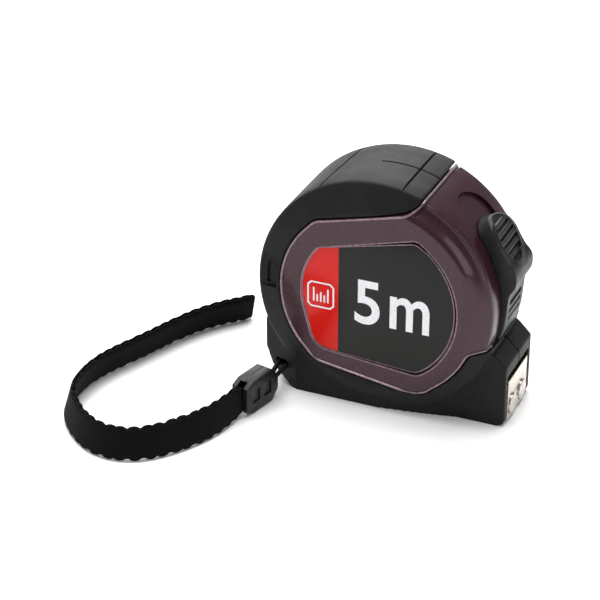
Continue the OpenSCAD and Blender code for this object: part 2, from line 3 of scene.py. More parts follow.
import bpy
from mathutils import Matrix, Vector


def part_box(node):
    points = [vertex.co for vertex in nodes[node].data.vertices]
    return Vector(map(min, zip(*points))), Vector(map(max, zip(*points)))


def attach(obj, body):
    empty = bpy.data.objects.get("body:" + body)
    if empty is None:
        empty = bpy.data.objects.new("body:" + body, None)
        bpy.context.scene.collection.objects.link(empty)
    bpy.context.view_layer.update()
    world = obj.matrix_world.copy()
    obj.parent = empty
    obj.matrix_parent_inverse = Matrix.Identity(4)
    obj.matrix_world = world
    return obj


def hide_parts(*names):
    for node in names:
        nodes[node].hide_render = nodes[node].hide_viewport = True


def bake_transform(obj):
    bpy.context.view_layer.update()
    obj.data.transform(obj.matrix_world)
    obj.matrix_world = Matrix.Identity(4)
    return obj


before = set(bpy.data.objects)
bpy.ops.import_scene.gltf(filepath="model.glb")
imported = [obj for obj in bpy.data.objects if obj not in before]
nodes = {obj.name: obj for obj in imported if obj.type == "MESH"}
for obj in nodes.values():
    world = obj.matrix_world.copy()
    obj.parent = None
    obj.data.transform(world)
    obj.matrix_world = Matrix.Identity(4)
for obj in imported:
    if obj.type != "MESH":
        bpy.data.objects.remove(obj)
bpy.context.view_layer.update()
mm = 0.001


# The lowest and highest corner of a CAD part, in millimetres
def boxOf(node):
    low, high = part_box(node)
    return low / mm, high / mm


gripLow, gripHigh = boxOf("left_grip")
spindleLow, spindleHigh = boxOf("spindle")
reelZ = (spindleLow.z + spindleHigh.z) / 2
caseR = gripHigh.z - reelZ
halfW = -gripLow.y
noseX = gripHigh.x
labelY = boxOf("left_label")[0].y
hookLow, hookHigh = boxOf("end_hook")
bladeLow, bladeHigh = boxOf("blade_tongue")
print("frame: reel axis at", round(reelZ, 2), "case radius", round(caseR, 2))


# Nothing else stays selected when an operator acts on these
def pickOnly(*pieces):
    bpy.ops.object.select_all(action="DESELECT")
    for piece in pieces:
        piece.select_set(True)
    bpy.context.view_layer.objects.active = pieces[0]


def editAll(piece):
    pickOnly(piece)
    bpy.ops.object.mode_set(mode="EDIT")
    bpy.ops.mesh.select_all(action="SELECT")


def leaveEdit():
    bpy.ops.mesh.select_all(action="SELECT")
    bpy.ops.mesh.normals_make_consistent(inside=False)
    bpy.ops.object.mode_set(mode="OBJECT")


def linked(name, data):
    piece = bpy.data.objects.new(name, data)
    bpy.context.collection.objects.link(piece)
    return piece


def applied(piece, kind, **settings):
    pickOnly(piece)
    modifier = piece.modifiers.new(kind.title(), kind)
    for key, value in settings.items():
        setattr(modifier, key, value)
    bpy.ops.object.modifier_apply(modifier=modifier.name)
    return piece


def carved(piece, cutter, how="DIFFERENCE"):
    applied(piece, "BOOLEAN", object=cutter, operation=how, solver="MANIFOLD")
    bpy.data.objects.remove(cutter)
    return piece


def joined(piece, *others):
    pickOnly(piece, *others)
    bpy.ops.object.join()
    return piece


# An outline of X and Z, drawn out along Y
def prism(name, points, yFrom, yTo):
    bpy.ops.mesh.primitive_circle_add(vertices=len(points), fill_type="NGON")
    piece = bpy.context.object
    piece.name = name
    for corner, (x, z) in zip(piece.data.vertices, points):
        corner.co = (x * mm, yFrom * mm, z * mm)
    editAll(piece)
    bpy.ops.mesh.extrude_region_move(TRANSFORM_OT_translate={"value": (0, (yTo - yFrom) * mm, 0)})
    leaveEdit()
    return piece


# A profile of radius and Y, spun about the reel's axis
def turned(name, profile, steps):
    mesh = bpy.data.meshes.new(name)
    mesh.from_pydata([(r * mm, y * mm, reelZ * mm) for r, y in profile],
                     [(i, i + 1) for i in range(len(profile) - 1)], [])
    piece = linked(name, mesh)
    editAll(piece)
    bpy.ops.mesh.spin(steps=steps, angle=2 * math.pi, center=(0, 0, reelZ * mm), axis=(0, 1, 0))
    bpy.ops.mesh.select_all(action="SELECT")
    bpy.ops.mesh.remove_doubles(threshold=0.00001)
    leaveEdit()
    return piece


# A skin over rings of points, with its ends closed
def swept(name, rings, closed=False):
    count = len(rings[0])
    total = len(rings)
    faces = []
    for i in range(total if closed else total - 1):
        for j in range(count):
            after, beside = (i + 1) % total * count, (j + 1) % count
            faces.append((i * count + j, i * count + beside, after + beside, after + j))
    if not closed:
        faces.append(tuple(range(count)))
        faces.append(tuple(range((total - 1) * count, total * count)))
    mesh = bpy.data.meshes.new(name)
    mesh.from_pydata([Vector(p) * mm for ring in rings for p in ring], [], faces)
    piece = linked(name, mesh)
    editAll(piece)
    leaveEdit()
    return piece


def tube(name, points, radius, closed=False, roundness=2):
    curve = bpy.data.curves.new(name, "CURVE")
    curve.dimensions = "3D"
    curve.bevel_depth = radius * mm
    curve.bevel_resolution = roundness
    curve.use_fill_caps = True
    spline = curve.splines.new("POLY")
    spline.points.add(len(points) - 1)
    for knot, p in zip(spline.points, points):
        knot.co = (p[0] * mm, p[1] * mm, p[2] * mm, 1)
    spline.use_cyclic_u = closed
    piece = linked(name, curve)
    pickOnly(piece)
    bpy.ops.object.convert(target="MESH")
    editAll(piece)
    bpy.ops.mesh.remove_doubles(threshold=0.000001)
    leaveEdit()
    return piece


def block(name, low, high):
    low, high = Vector(low) * mm, Vector(high) * mm
    bpy.ops.mesh.primitive_cube_add(size=1, location=(low + high) / 2)
    piece = bpy.context.object
    piece.name = name
    piece.scale = high - low
    bpy.ops.object.transform_apply(location=True, rotation=True, scale=True)
    return piece


def rod(name, start, end, radius, sides):
    start, end = Vector(start) * mm, Vector(end) * mm
    turn = (end - start).to_track_quat("Z", "Y").to_euler()
    bpy.ops.mesh.primitive_cone_add(vertices=sides, radius1=radius * mm, radius2=radius * mm,
                                    depth=(end - start).length, location=(start + end) / 2,
                                    rotation=turn)
    piece = bpy.context.object
    piece.name = name
    bpy.ops.object.transform_apply(location=True, rotation=True, scale=True)
    return piece


def rounded(piece, width, segments=3, angle=35):
    return applied(piece, "BEVEL", width=width * mm, segments=segments, limit_method="ANGLE",
                   angle_limit=math.radians(angle))


# A moulded look: every edge melts a little
def melted(piece, voxel, passes):
    applied(piece, "REMESH", mode="VOXEL", voxel_size=voxel * mm)
    applied(piece, "SMOOTH", factor=0.5, iterations=passes)
    return piece


# A copy of a CAD part with its edges broken
def softCopy(node, name, width, segments=2, angle=40):
    piece = linked(name, nodes[node].data.copy())
    editAll(piece)
    bpy.ops.mesh.customdata_custom_splitnormals_clear()
    bpy.ops.mesh.remove_doubles(threshold=0.000002)
    bpy.ops.mesh.dissolve_limited(angle_limit=math.radians(0.5))
    leaveEdit()
    if width:
        rounded(piece, width, segments, angle)
    return piece


def finished(piece, name, material, body, replaced, sharp=35):
    piece.name = name
    piece.data.name = name
    piece.data.materials.clear()
    piece.data.materials.append(material)
    pickOnly(piece)
    bpy.ops.object.shade_smooth_by_angle(angle=math.radians(sharp))
    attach(piece, body)
    if replaced:
        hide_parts(*replaced)
    return piece


# The point at an angle and radius round the reel's axis, as X and Z
def at(angle, r):
    a = math.radians(angle)
    return (r * math.cos(a), reelZ + r * math.sin(a))


def arc(r, start, end, count=24):
    return [at(start + (end - start) * i / count, r) for i in range(count + 1)]


def cornerArc(a, b, c, r, count=8):
    a, b, c = Vector(a), Vector(b), Vector(c)
    u, v = (a - b).normalized(), (c - b).normalized()
    half = u.angle(v) / 2
    middle = b + (u + v).normalized() * r / math.sin(half)
    first, last = b + u * r / math.tan(half) - middle, b + v * r / math.tan(half) - middle
    start = math.atan2(first.y, first.x)
    sweep = (math.atan2(last.y, last.x) - start + math.pi) % (2 * math.pi) - math.pi
    return [(middle.x + r * math.cos(start + sweep * i / count),
             middle.y + r * math.sin(start + sweep * i / count)) for i in range(count + 1)]


# The outline, moved outwards (its points run with the inside on one side)
def grown(points, distance, closed=True):
    result = []
    count = len(points)
    for i, p in enumerate(points):
        before = points[i - 1] if closed or i else p
        after = points[(i + 1) % count] if closed or i < count - 1 else p
        along = Vector((after[0] - before[0], after[1] - before[1])).normalized()
        result.append((p[0] - along.y * distance, p[1] + along.x * distance))
    return result


def walked(points, step, closed=False):
    result = []
    ends = points[1:] + points[:1] if closed else points[1:]
    for a, b in zip(points, ends):
        count = max(1, math.ceil(math.dist(a, b) / step))
        result += [tuple(p + (q - p) * i / count for p, q in zip(a, b)) for i in range(count)]
    return result if closed else result + [points[-1]]


# A smooth line through points
def splined(points, perSpan):
    result = []
    points = [Vector(p) for p in points]
    for i in range(len(points) - 1):
        p0, p1, p2 = points[max(i - 1, 0)], points[i], points[i + 1]
        p3 = points[min(i + 2, len(points) - 1)]
        for k in range(perSpan):
            t = k / perSpan
            result.append(0.5 * (2 * p1 + (p2 - p0) * t + (2 * p0 - 5 * p1 + 4 * p2 - p3) * t * t
                                 + (3 * p1 - p0 - 3 * p2 + p3) * t * t * t))
    return result + [points[-1]]


def smoothStep(low, high, value):
    t = min(1, max(0, (value - low) / (high - low)))
    return t * t * (3 - 2 * t)


# The camera: where it stands and looks in millimetres, its lens, and its clip in metres
view = {"at": (202.15, -538.70, 347.25), "towards": (-22.74, -19.0, 33.36), "lens": 129.36,
        "sensor": 36, "near": 0.01, "far": 20}


def setCamera():
    data = bpy.data.cameras.new("camera")
    data.lens = view["lens"]
    data.sensor_width = view["sensor"]
    data.clip_start, data.clip_end = view["near"], view["far"]
    camera = linked("camera", data)
    camera.location = Vector(view["at"]) * mm
    look = Vector(view["towards"]) - Vector(view["at"])
    camera.rotation_euler = look.to_track_quat("-Z", "Y").to_euler()
    bpy.context.scene.camera = camera


setCamera()
print("camera set")


# An sRGB hex colour as linear values
def toLinear(hexColour):
    channels = [int(hexColour[i:i + 2], 16) / 255 for i in (1, 3, 5)]
    return [c / 12.92 if c <= 0.04045 else ((c + 0.055) / 1.055) ** 2.4 for c in channels] + [1]


def addNode(tree, kind, settings=None, links=None):
    node = tree.nodes.new(kind)
    for key, value in (settings or {}).items():
        setattr(node, key, value)
    for key, value in (links or {}).items():
        if isinstance(value, bpy.types.NodeSocket):
            tree.links.new(value, node.inputs[key])
        else:
            node.inputs[key].default_value = value
    return node


def newMaterial(name, shaderValues):
    material = bpy.data.materials.new(name)
    material.use_nodes = True
    tree = material.node_tree
    shader = tree.nodes["Principled BSDF"]
    for key, value in shaderValues.items():
        shader.inputs[key].default_value = value
    coords = addNode(tree, "ShaderNodeTexCoord").outputs["Object"]
    return material, tree, shader, coords


# Colour that drifts between two tones, over patches of the given size in millimetres
def mottle(tree, shader, coords, toneA, toneB, size):
    noise = addNode(tree, "ShaderNodeTexNoise", None,
                    {"Vector": coords, "Scale": 1 / (size * mm), "Detail": 3.0})
    ramp = addNode(tree, "ShaderNodeValToRGB", None, {"Fac": noise.outputs["Fac"]})
    for stop, place, tone in zip(ramp.color_ramp.elements, (0.35, 0.65), (toneA, toneB)):
        stop.position = place
        stop.color = toLinear(tone)
    tree.links.new(ramp.outputs["Color"], shader.inputs["Base Color"])


# Relief from grain of the given size, as deep as depth, both in millimetres
def grain(tree, shader, coords, size, depth, before=None):
    noise = addNode(tree, "ShaderNodeTexNoise", None,
                    {"Vector": coords, "Scale": 1 / (size * mm), "Detail": 2.0})
    links = {"Height": noise.outputs["Fac"], "Distance": depth * mm, "Strength": 1.0}
    if before:
        links["Normal"] = before
    bump = addNode(tree, "ShaderNodeBump", None, links)
    tree.links.new(bump.outputs["Normal"], shader.inputs["Normal"])
    return bump.outputs["Normal"]


# Roughness that wanders between two values
def wear(tree, shader, coords, size, low, high):
    noise = addNode(tree, "ShaderNodeTexNoise", None,
                    {"Vector": coords, "Scale": 1 / (size * mm), "Detail": 4.0})
    spread = addNode(tree, "ShaderNodeMapRange", None,
                     {"Value": noise.outputs["Fac"], "From Min": 0.3, "From Max": 0.7,
                      "To Min": low, "To Max": high})
    tree.links.new(spread.outputs["Result"], shader.inputs["Roughness"])


# A mix of two colours. "A" and "B" name several sockets, so the colour ones go by place
def colourMix(tree, share, first, second):
    return addNode(tree, "ShaderNodeMix", {"data_type": "RGBA"},
                   {0: share, 6: first, 7: second}).outputs[2]


# A finish: its shader's values; its two tones and their patches' size; the worn patches' size and
# range of roughness; each grain's size and depth, and how they are drawn out
def finishOf(name, values, tones, worn=None, grains=(), drawn=None):
    material, tree, shader, coords = newMaterial(name, values)
    mottle(tree, shader, coords, *tones)
    if worn:
        wear(tree, shader, coords, *worn)
    if drawn:
        coords = addNode(tree, "ShaderNodeMapping", None,
                         {"Vector": coords, "Scale": drawn}).outputs["Vector"]
    before = None
    for size, depth in grains:
        before = grain(tree, shader, coords, size, depth, before)
    return material


# ABS with a metallic lacquer: fine flakes, coarser than real to show, under a clear coat
# with a faint orange peel, so edges flash pale
plumPaint = finishOf("plum metallic lacquer on ABS", {
    "Metallic": 0.35, "IOR": 1.5, "Specular IOR Level": 0.35, "Coat Weight": 0.3,
    "Coat Roughness": 0.07, "Coat IOR": 1.5,
}, ("#281118", "#3c1d28", 0.35), (9, 0.27, 0.36), [(1.6, 0.004)])
# The same lacquer made paler for the beads along the lips and the seam: a painted highlight where
# edges catch the light
plumEdgeHighlight = finishOf("plum lacquer with painted edge highlight", {
    "Metallic": 0.5, "IOR": 1.5, "Coat Weight": 0.4, "Coat Roughness": 0.1,
}, ("#6b535b", "#857078", 1.2), (5, 0.25, 0.4))
# Thermoplastic rubber: matt, with the fine spark-eroded grain of its mould
rubber = finishOf("thermoplastic rubber", {
    "IOR": 1.5, "Specular IOR Level": 0.16, "Sheen Weight": 0.03, "Sheen Roughness": 0.5,
}, ("#101011", "#161617", 6), (4, 0.5, 0.58), [(0.45, 0.02), (3.5, 0.01)])
# Acetal: dense black plastic with a waxy, slightly worn face
acetal = finishOf("black acetal", {"IOR": 1.48, "Specular IOR Level": 0.3},
                  ("#141415", "#1d1d1e", 3), (2.5, 0.34, 0.5), [(0.4, 0.008)])
# Polypropylene button: satin from thumbs, with a light mould grain
buttonBlack = finishOf("satin black polypropylene", {"IOR": 1.49, "Specular IOR Level": 0.25},
                       ("#121314", "#1a1b1c", 4), (5, 0.36, 0.5), [(0.35, 0.01)])
# Bright nickel over pressed steel: mirror-like, with fine rolling lines up the plate
nickel = finishOf("bright nickel plate", {"Metallic": 1.0}, ("#b9b2a8", "#d0cac1", 2.5),
                  (1.2, 0.16, 0.34), [(0.12, 0.004)], (1, 1, 0.06))
# Zinc-plated steel: grey, slightly cloudy
zinc = finishOf("zinc plated steel", {"Metallic": 1.0}, ("#a8a9a8", "#c6c6c2", 1.5),
                (0.8, 0.25, 0.42), [(0.5, 0.006)])
# Blued spring steel: dark and smooth
springBlue = finishOf("blued spring steel", {"Metallic": 1.0}, ("#4b515c", "#6a7280", 2),
                      (1.5, 0.24, 0.38))
# Steel strip with a tumbled chrome finish, for the belt clip
clipChrome = finishOf("chromed spring steel strip", {"Metallic": 1.0}, ("#b9bab9", "#d2d2cf", 5),
                      (3, 0.18, 0.32), [(0.15, 0.004)], (1, 1, 0.05))
# Natural polystyrene: off-white, slightly glossy
polystyrene = finishOf("natural polystyrene", {"IOR": 1.59}, ("#cfcfc8", "#dededa", 8),
                       (6, 0.3, 0.42))
# Screen-printing ink: opaque white
inkWhite = finishOf("white screen ink", {"Roughness": 0.35, "IOR": 1.5},
                    ("#dfdfe4", "#eeeef2", 0.8))
# Pale matt paper for the floor
paper = finishOf("white backdrop paper", {"Roughness": 0.9}, ("#f4f4f4", "#fafafa", 60))


# Printed polyester film: flat inks under a glossy face
def labelFilm(redTo):
    material, tree, shader, coords = newMaterial("printed polyester film", {
        "Roughness": 0.2, "IOR": 1.57, "Specular IOR Level": 0.14,
        "Coat Weight": 0.06, "Coat Roughness": 0.05})
    place = addNode(tree, "ShaderNodeSeparateXYZ", None, {"Vector": coords})
    field = addNode(tree, "ShaderNodeMath", {"operation": "LESS_THAN"},
                    {0: place.outputs["X"], 1: redTo * mm})
    speck = addNode(tree, "ShaderNodeTexNoise", None, {"Vector": coords, "Scale": 1 / (0.3 * mm)})
    dark = colourMix(tree, speck.outputs["Fac"], toLinear("#141512"), toLinear("#1b1c19"))
    red = colourMix(tree, speck.outputs["Fac"], toLinear("#c8150e"), toLinear("#d42018"))
    ink = colourMix(tree, field.outputs[0], dark, red)
    tree.links.new(ink, shader.inputs["Base Color"])
    grain(tree, shader, coords, 4, 0.006)
    return material


# Polyester webbing yarn: black, soft sheen, the weave shown by its UV map in millimetres
def webbing():
    material, tree, shader, coords = newMaterial("woven polyester webbing", {
        "Roughness": 0.85, "Specular IOR Level": 0.08, "Sheen Weight": 0.02, "Sheen Roughness": 0.6})
    along = addNode(tree, "ShaderNodeUVMap", {"uv_map": "weave"}).outputs["UV"]
    ribs = addNode(tree, "ShaderNodeTexWave", {"bands_direction": "X"},
                   {"Vector": along, "Scale": 0.31, "Distortion": 0.4, "Detail": 1.0})
    yarns = addNode(tree, "ShaderNodeTexWave", {"bands_direction": "Y"},
                    {"Vector": along, "Scale": 0.42, "Distortion": 0.4, "Detail": 1.0})
    weave = addNode(tree, "ShaderNodeMath", {"operation": "MULTIPLY"},
                    {0: ribs.outputs["Fac"], 1: yarns.outputs["Fac"]})
    ramp = addNode(tree, "ShaderNodeValToRGB", None, {"Fac": weave.outputs[0]})
    for stop, tone in zip(ramp.color_ramp.elements, ("#040404", "#0a0a0b")):
        stop.color = toLinear(tone)
    tree.links.new(ramp.outputs["Color"], shader.inputs["Base Color"])
    bump = addNode(tree, "ShaderNodeBump", None,
                   {"Height": weave.outputs[0], "Distance": 0.12 * mm, "Strength": 1.0})
    tree.links.new(bump.outputs["Normal"], shader.inputs["Normal"])
    return material


# Lacquered steel blade: yellow with a black mark each millimetre
def bladeLacquer():
    material, tree, shader, coords = newMaterial("yellow lacquered steel blade", {
        "Roughness": 0.32, "IOR": 1.5, "Coat Weight": 0.3, "Coat Roughness": 0.1})
    place = addNode(tree, "ShaderNodeSeparateXYZ", None, {"Vector": coords})
    side = addNode(tree, "ShaderNodeMath", {"operation": "ABSOLUTE"}, {0: place.outputs["Y"]})
    marks = []
    # each row of marks: its pitch, how far from the middle it starts, and its line's width
    for pitch, reach, width in ((1, 6.4, 0.16), (5, 5.0, 0.2), (10, 2.4, 0.3)):
        phase = addNode(tree, "ShaderNodeMath", {"operation": "PINGPONG"},
                        {0: place.outputs["X"], 1: pitch / 2 * mm})
        line = addNode(tree, "ShaderNodeMath", {"operation": "LESS_THAN"},
                       {0: phase.outputs[0], 1: width / 2 * mm})
        edge = addNode(tree, "ShaderNodeMath", {"operation": "GREATER_THAN"},
                       {0: side.outputs[0], 1: reach * mm})
        marks.append(addNode(tree, "ShaderNodeMath", {"operation": "MULTIPLY"},
                             {0: line.outputs[0], 1: edge.outputs[0]}).outputs[0])
    both = addNode(tree, "ShaderNodeMath", {"operation": "MAXIMUM"}, {0: marks[0], 1: marks[1]})
    every = addNode(tree, "ShaderNodeMath", {"operation": "MAXIMUM"},
                    {0: both.outputs[0], 1: marks[2]})
    ink = colourMix(tree, every.outputs[0], toLinear("#e8c23a"), toLinear("#141414"))
    tree.links.new(ink, shader.inputs["Base Color"])
    grain(tree, shader, coords, 1.5, 0.004)
    return material


strapYarn = webbing()
bladeYellow = bladeLacquer()
print("materials made")


# The wrist strap, in millimetres and degrees: webbing folded double, with looped edges
strap = {
    "width": 8.9, "ply": 0.85, "apart": 0.62, "lean": -16, "leanOver": 4,
    "loopPitch": 4.0, "loopOut": 0.45, "loopYarn": 0.28, "perSpan": 6, "edgeRound": 0.3,
    # the edge's loops: where the first is, how far in they are sewn, and their share of a pitch
    "firstLoop": 3, "loopTuck": 0.35, "loopSeat": 0.75, "loopReach": 0.42,
    # the middle of the strap, from the clamp to the fold, as in the CAD part
    "route": [
        (-34.8, -37.2, 5.8), (-35.6, -42.5, 5.6), (-37, -48.5, 5.4), (-39.5, -54.5, 5.2),
        (-43, -60.5, 5.2), (-47, -66, 5.2), (-52, -70.5, 5.2), (-58, -72.7, 5.2),
        (-64.5, -72.3, 5.2), (-70.5, -69.5, 5.2), (-76, -65, 5.2), (-80.5, -59.5, 5.2),
        (-83.3, -53, 5.2), (-84.2, -46, 5.2), (-83.8, -39, 5.2), (-82, -32, 5.2),
        (-79.3, -25, 5.2), (-76.4, -18, 5.2), (-73.8, -11, 5.2), (-71, -4, 5.2),
        (-67.5, 3, 5.2), (-63, 9.5, 5.2), (-58.5, 14.5, 5.2), (-56, 17.5, 5.2)],
}


# For each point of the strap's middle: the point, the way it faces and the way across its width
def strapFrames():
    line = splined(strap["route"], strap["perSpan"])
    frames = []
    for i, p in enumerate(line):
        ahead = (line[min(i + 1, len(line) - 1)] - line[max(i - 1, 0)]).normalized()
        side = Vector((ahead.y, -ahead.x, 0)).normalized()
        up = side.cross(ahead).normalized()
        share = min(1, i / (strap["leanOver"] * strap["perSpan"]))
        a = math.radians(strap["lean"]) * share
        face = side * math.cos(a) + up * math.sin(a)
        across = up * math.cos(a) - side * math.sin(a)
        frames.append((p, face, across, ahead))
    return frames


def makeStrap():
    frames = strapFrames()
    half, thin, off = strap["width"] / 2, strap["ply"] / 2, strap["apart"]
    flat = half - strap["edgeRound"]
    section = [(thin, flat), (thin * 0.5, half), (-thin * 0.5, half), (-thin, flat)]
    section += [(-thin, half * s) for s in (0.6, 0.2, -0.2, -0.6)]
    section += [(-a, -b) for a, b in section[:4]]
    section += [(thin, half * s) for s in (-0.6, -0.2, 0.2, 0.6)]
    path = [(p + face * off, face, across) for p, face, across, ahead in frames]
    p, face, across, ahead = frames[-1]
    for turn in range(20, 180, 20):                              # the fold at the far end
        way = face * math.cos(math.radians(turn)) + ahead * math.sin(math.radians(turn))
        path.append((p + way * off, way, across))
    path += [(p - face * off, -face, across) for p, face, across, ahead in reversed(frames)]
    rings = [[c + f * a + w * b for a, b in section] for c, f, w in path]
    body = swept("wrist_strap_webbing", rings)
    # UV in millimetres: U along the webbing, V across it
    lengths = [0]
    for before, after in zip(path, path[1:]):
        lengths.append(lengths[-1] + (after[0] - before[0]).length)
    count = len(section)
    layer = body.data.uv_layers.new(name="weave")
    for loop in body.data.loops:
        ring, spot = divmod(loop.vertex_index, count)
        layer.data[loop.index].uv = (lengths[ring], section[spot][1])
    loops = strapLoops(frames, off, half)
    return joined(body, *loops)


# The scalloped edges: a small loop of yarn every few millimetres along each edge of both plies
def strapLoops(frames, off, half):
    loops = []
    travelled = 0
    nextLoop = strap["firstLoop"]
    tuck = strap["loopTuck"]
    for (p, face, across, ahead), after in zip(frames, frames[1:]):
        q = after[0]
        travelled += (q - p).length
        if travelled < nextLoop:
            continue
        nextLoop += strap["loopPitch"]
        for layer in (-1, 1):
            for edge in (-1, 1):
                points = []
                for k in range(9):
                    a = math.pi * k / 8
                    rise = half - tuck + math.sin(a) * (strap["loopOut"] + tuck)
                    points.append(q + face * layer * (off * strap["loopSeat"])
                                  + ahead * math.cos(a) * strap["loopPitch"] * strap["loopReach"]
                                  + across * edge * rise)
                loops.append(tube("strapLoop", points, strap["loopYarn"], roundness=1))
    for loop in loops:
        layer = loop.data.uv_layers.new(name="weave")
        for spot in layer.data:
            spot.uv = (0.4, 0.4)                                 # one spot of the weave: plain yarn
    return loops


strapPiece = finished(makeStrap(), "wrist_strap_webbing", strapYarn, "case", ["wrist_strap"],
                      50)
print("strap made,", len(strapPiece.data.polygons), "faces")


clamp = {"edge": 0.45, "segments": 3}


def makeClampAndCord():
    for node, name in (("clamp_front", "clamp_half_front"), ("clamp_back", "clamp_half_back")):
        piece = softCopy(node, name, clamp["edge"], clamp["segments"])
        finished(piece, name, acetal, "case", [node])
    piece = softCopy("anchor_cord", "anchor_cord_braid", 0)
    applied(piece, "SUBSURF", levels=2, render_levels=2)
    finished(piece, "anchor_cord_braid", acetal, "case", ["anchor_cord"], 60)


makeClampAndCord()
print("clamp and cord made")


# What the grips and shells share, in millimetres and degrees
case = {
    "shellSteps": 360, "gripSteps": 240, "coreSteps": 120, "perSpan": 3,
    # half profiles as radius and distance from the middle; the valley is beside the front panel
    "rubber": [(0, 18), (20, 18), (27, 18), (28.9, 18), (29.6, 17.88), (30.4, 17.55), (31.6, 17.02),
               (33, 16.4), (34.4, 15.8), (35.7, 15.22), (36.6, 14.8), (37.15, 14.5), (37.5, 14.0),
               (37.66, 13.2), (37.8, 12), (37.92, 10.5), (37.98, 9), (37.98, 5), (37.98, 2),
               (37.98, 0)],
    "rear": [(0, 18), (20, 18), (27, 18), (28.9, 18), (29.6, 17.95), (30.4, 17.8), (31.6, 17.5),
             (33, 17.15), (34.4, 16.8), (35.7, 16.45), (36.8, 16.15), (37.5, 15.8), (37.8, 15.1),
             (37.9, 14), (37.95, 12.5), (37.97, 10.5), (37.98, 9), (37.98, 5), (37.98, 2),
             (37.98, 0)],
    "plum": [(0, 18), (20, 18), (27, 18), (28.9, 18), (29.6, 17.88), (30.4, 17.55), (31.4, 17.02),
             (32.6, 16.4), (33.8, 15.8), (34.9, 15.22), (35.7, 14.8), (36.2, 14.5), (36.5, 14.0),
             (36.68, 13.2), (36.8, 12), (36.92, 10.5), (37, 9), (37, 5), (37, 2), (37, 0)],
    "valley": [(0, 18), (20, 18), (28.5, 18), (30.6, 18), (31.5, 17.9), (32.2, 17.5), (32.8, 16.85),
               (33.4, 16.0), (34.1, 15.2), (34.9, 14.6), (35.7, 14.3), (36.2, 14.45), (36.5, 14.3),
               (36.72, 13.6), (36.85, 12.4), (36.95, 10.5), (37, 9), (37, 5), (37, 2), (37, 0)],
    # the angles between which the second profile comes in, and goes again
    "valleyIn": (8, 30), "valleyGone": (78, 92), "rearIn": (112, 150), "rearGone": (205, 235),
    "ringR": 29.7, "noseH": 24, "noseTop": 10, "chamfer": 4, "trackHalf": 8.3, "trackTop": 58,
    "gap": 0.4, "skin": 1.9, "mouthHalf": 9.8, "mouthFrom": 17, "mouthTop": 16, "bladeRoom": 2.3,
    "brakeHalf": 5.8, "brakeUp": 5, "hookRoom": 0.35, "pocketReach": 2.4, "pocketHalf": 1.0,
}
# The block under the round body: its rear corner as steps in from the rear and heights,
# its half widths, and the X at which the width changes (the first two from the rear)
base = {
    "rearX": 37, "rearH": 21, "heel": [(0, 11), (2.5, 5.5), (10, 0)], "toeRound": 2.2,
    "rimHalf": 14.5, "baseHalf": 16.5, "noseHalf": 12, "rearNarrow": 2.5,
    "widthAt": [6, 12, 2, 15, 27],
}
lines = {kind: splined(case[kind], case["perSpan"]) for kind in ("rubber", "rear", "plum", "valley")}


# How much of its second profile a piece has at an angle
def valleyShare(angle):
    return smoothStep(*case["valleyIn"], angle) * (1 - smoothStep(*case["valleyGone"], angle))


def rearShare(angle):
    angle %= 360
    return smoothStep(*case["rearIn"], angle) * (1 - smoothStep(*case["rearGone"], angle))


# Distance of the case's side from the middle, at a radius and angle
def sideAt(r, angle):
    share = valleyShare(angle)
    line = [a.lerp(b, share) for a, b in zip(lines["plum"], lines["valley"])]
    for a, b in zip(line, line[1:]):
        if a.x <= r <= b.x and b.x > a.x:
            return a.y + (b.y - a.y) * (r - a.x) / (b.x - a.x)
    return 0


# Corners as angles and as steps out from the outline's radius, and the corners' roundings
labelLine = {"rearR": 22.6, "frontR": 26.4, "tail": 137, "top": (59, 0.3), "toe": 304,
             "heel": (226, 3.7), "rounds": (6, 3, 5)}
plumLine = {"lowOut": 2.7, "frontLow": (-14.5, 1), "step": (-21.8, 0.1), "toe": (299, 1.1),
            "heel": (232.5, 0.5), "tail": (129, 0.3), "valley": (68.2, 3.9), "top": (68, 10),
            "rounds": (2.5, 6, 7, 6, 8)}


# The point at a corner's angle, out from a radius by its step
def stepped(r, spot):
    return at(spot[0], r + spot[1])


# The label's opening, or the film in it, which is smaller at the top and front
def labelOutline(inset=0.0):
    line = labelLine
    rear, front = line["rearR"], line["frontR"] - inset
    tail, top = at(line["tail"], rear), stepped(front - inset * 0.8, line["top"])
    toe, heel = at(line["toe"], front), stepped(rear, line["heel"])
    rearRound, topRound, toeRound = line["rounds"]
    return (cornerArc(toe, heel, at(196, rear + 0.3), rearRound) + arc(rear, 194, 140, 30)
            + cornerArc(tail, top, at(50, front), topRound) + arc(front, 49, -46, 50)
            + cornerArc(at(-48, front), toe, heel, toeRound))


def plumOutline():
    line, ring = plumLine, case["ringR"]
    lowR = ring + line["lowOut"]
    frontLow, step = stepped(caseR, line["frontLow"]), stepped(lowR, line["step"])
    toe, heel = stepped(lowR, line["toe"]), stepped(ring, line["heel"])
    tail, valley = stepped(ring, line["tail"]), stepped(ring, line["valley"])
    top = stepped(caseR, line["top"])
    stepRound, toeRound, heelRound, tailRound, valleyRound = line["rounds"]
    return ([(noseX + 10, frontLow[1]), frontLow]
            + cornerArc(frontLow, step, at(-30, lowR), stepRound) + arc(lowR, -30, -53, 16)
            + cornerArc(at(-54, lowR), toe, heel, toeRound)
            + cornerArc(toe, heel, at(218, ring), heelRound) + arc(ring, 218, 136, 46)
            + cornerArc(at(138, ring), tail, valley, tailRound)
            + cornerArc(tail, valley, top, valleyRound, 12)
            + [top, (noseX + 10, reelZ + caseR + 10)])


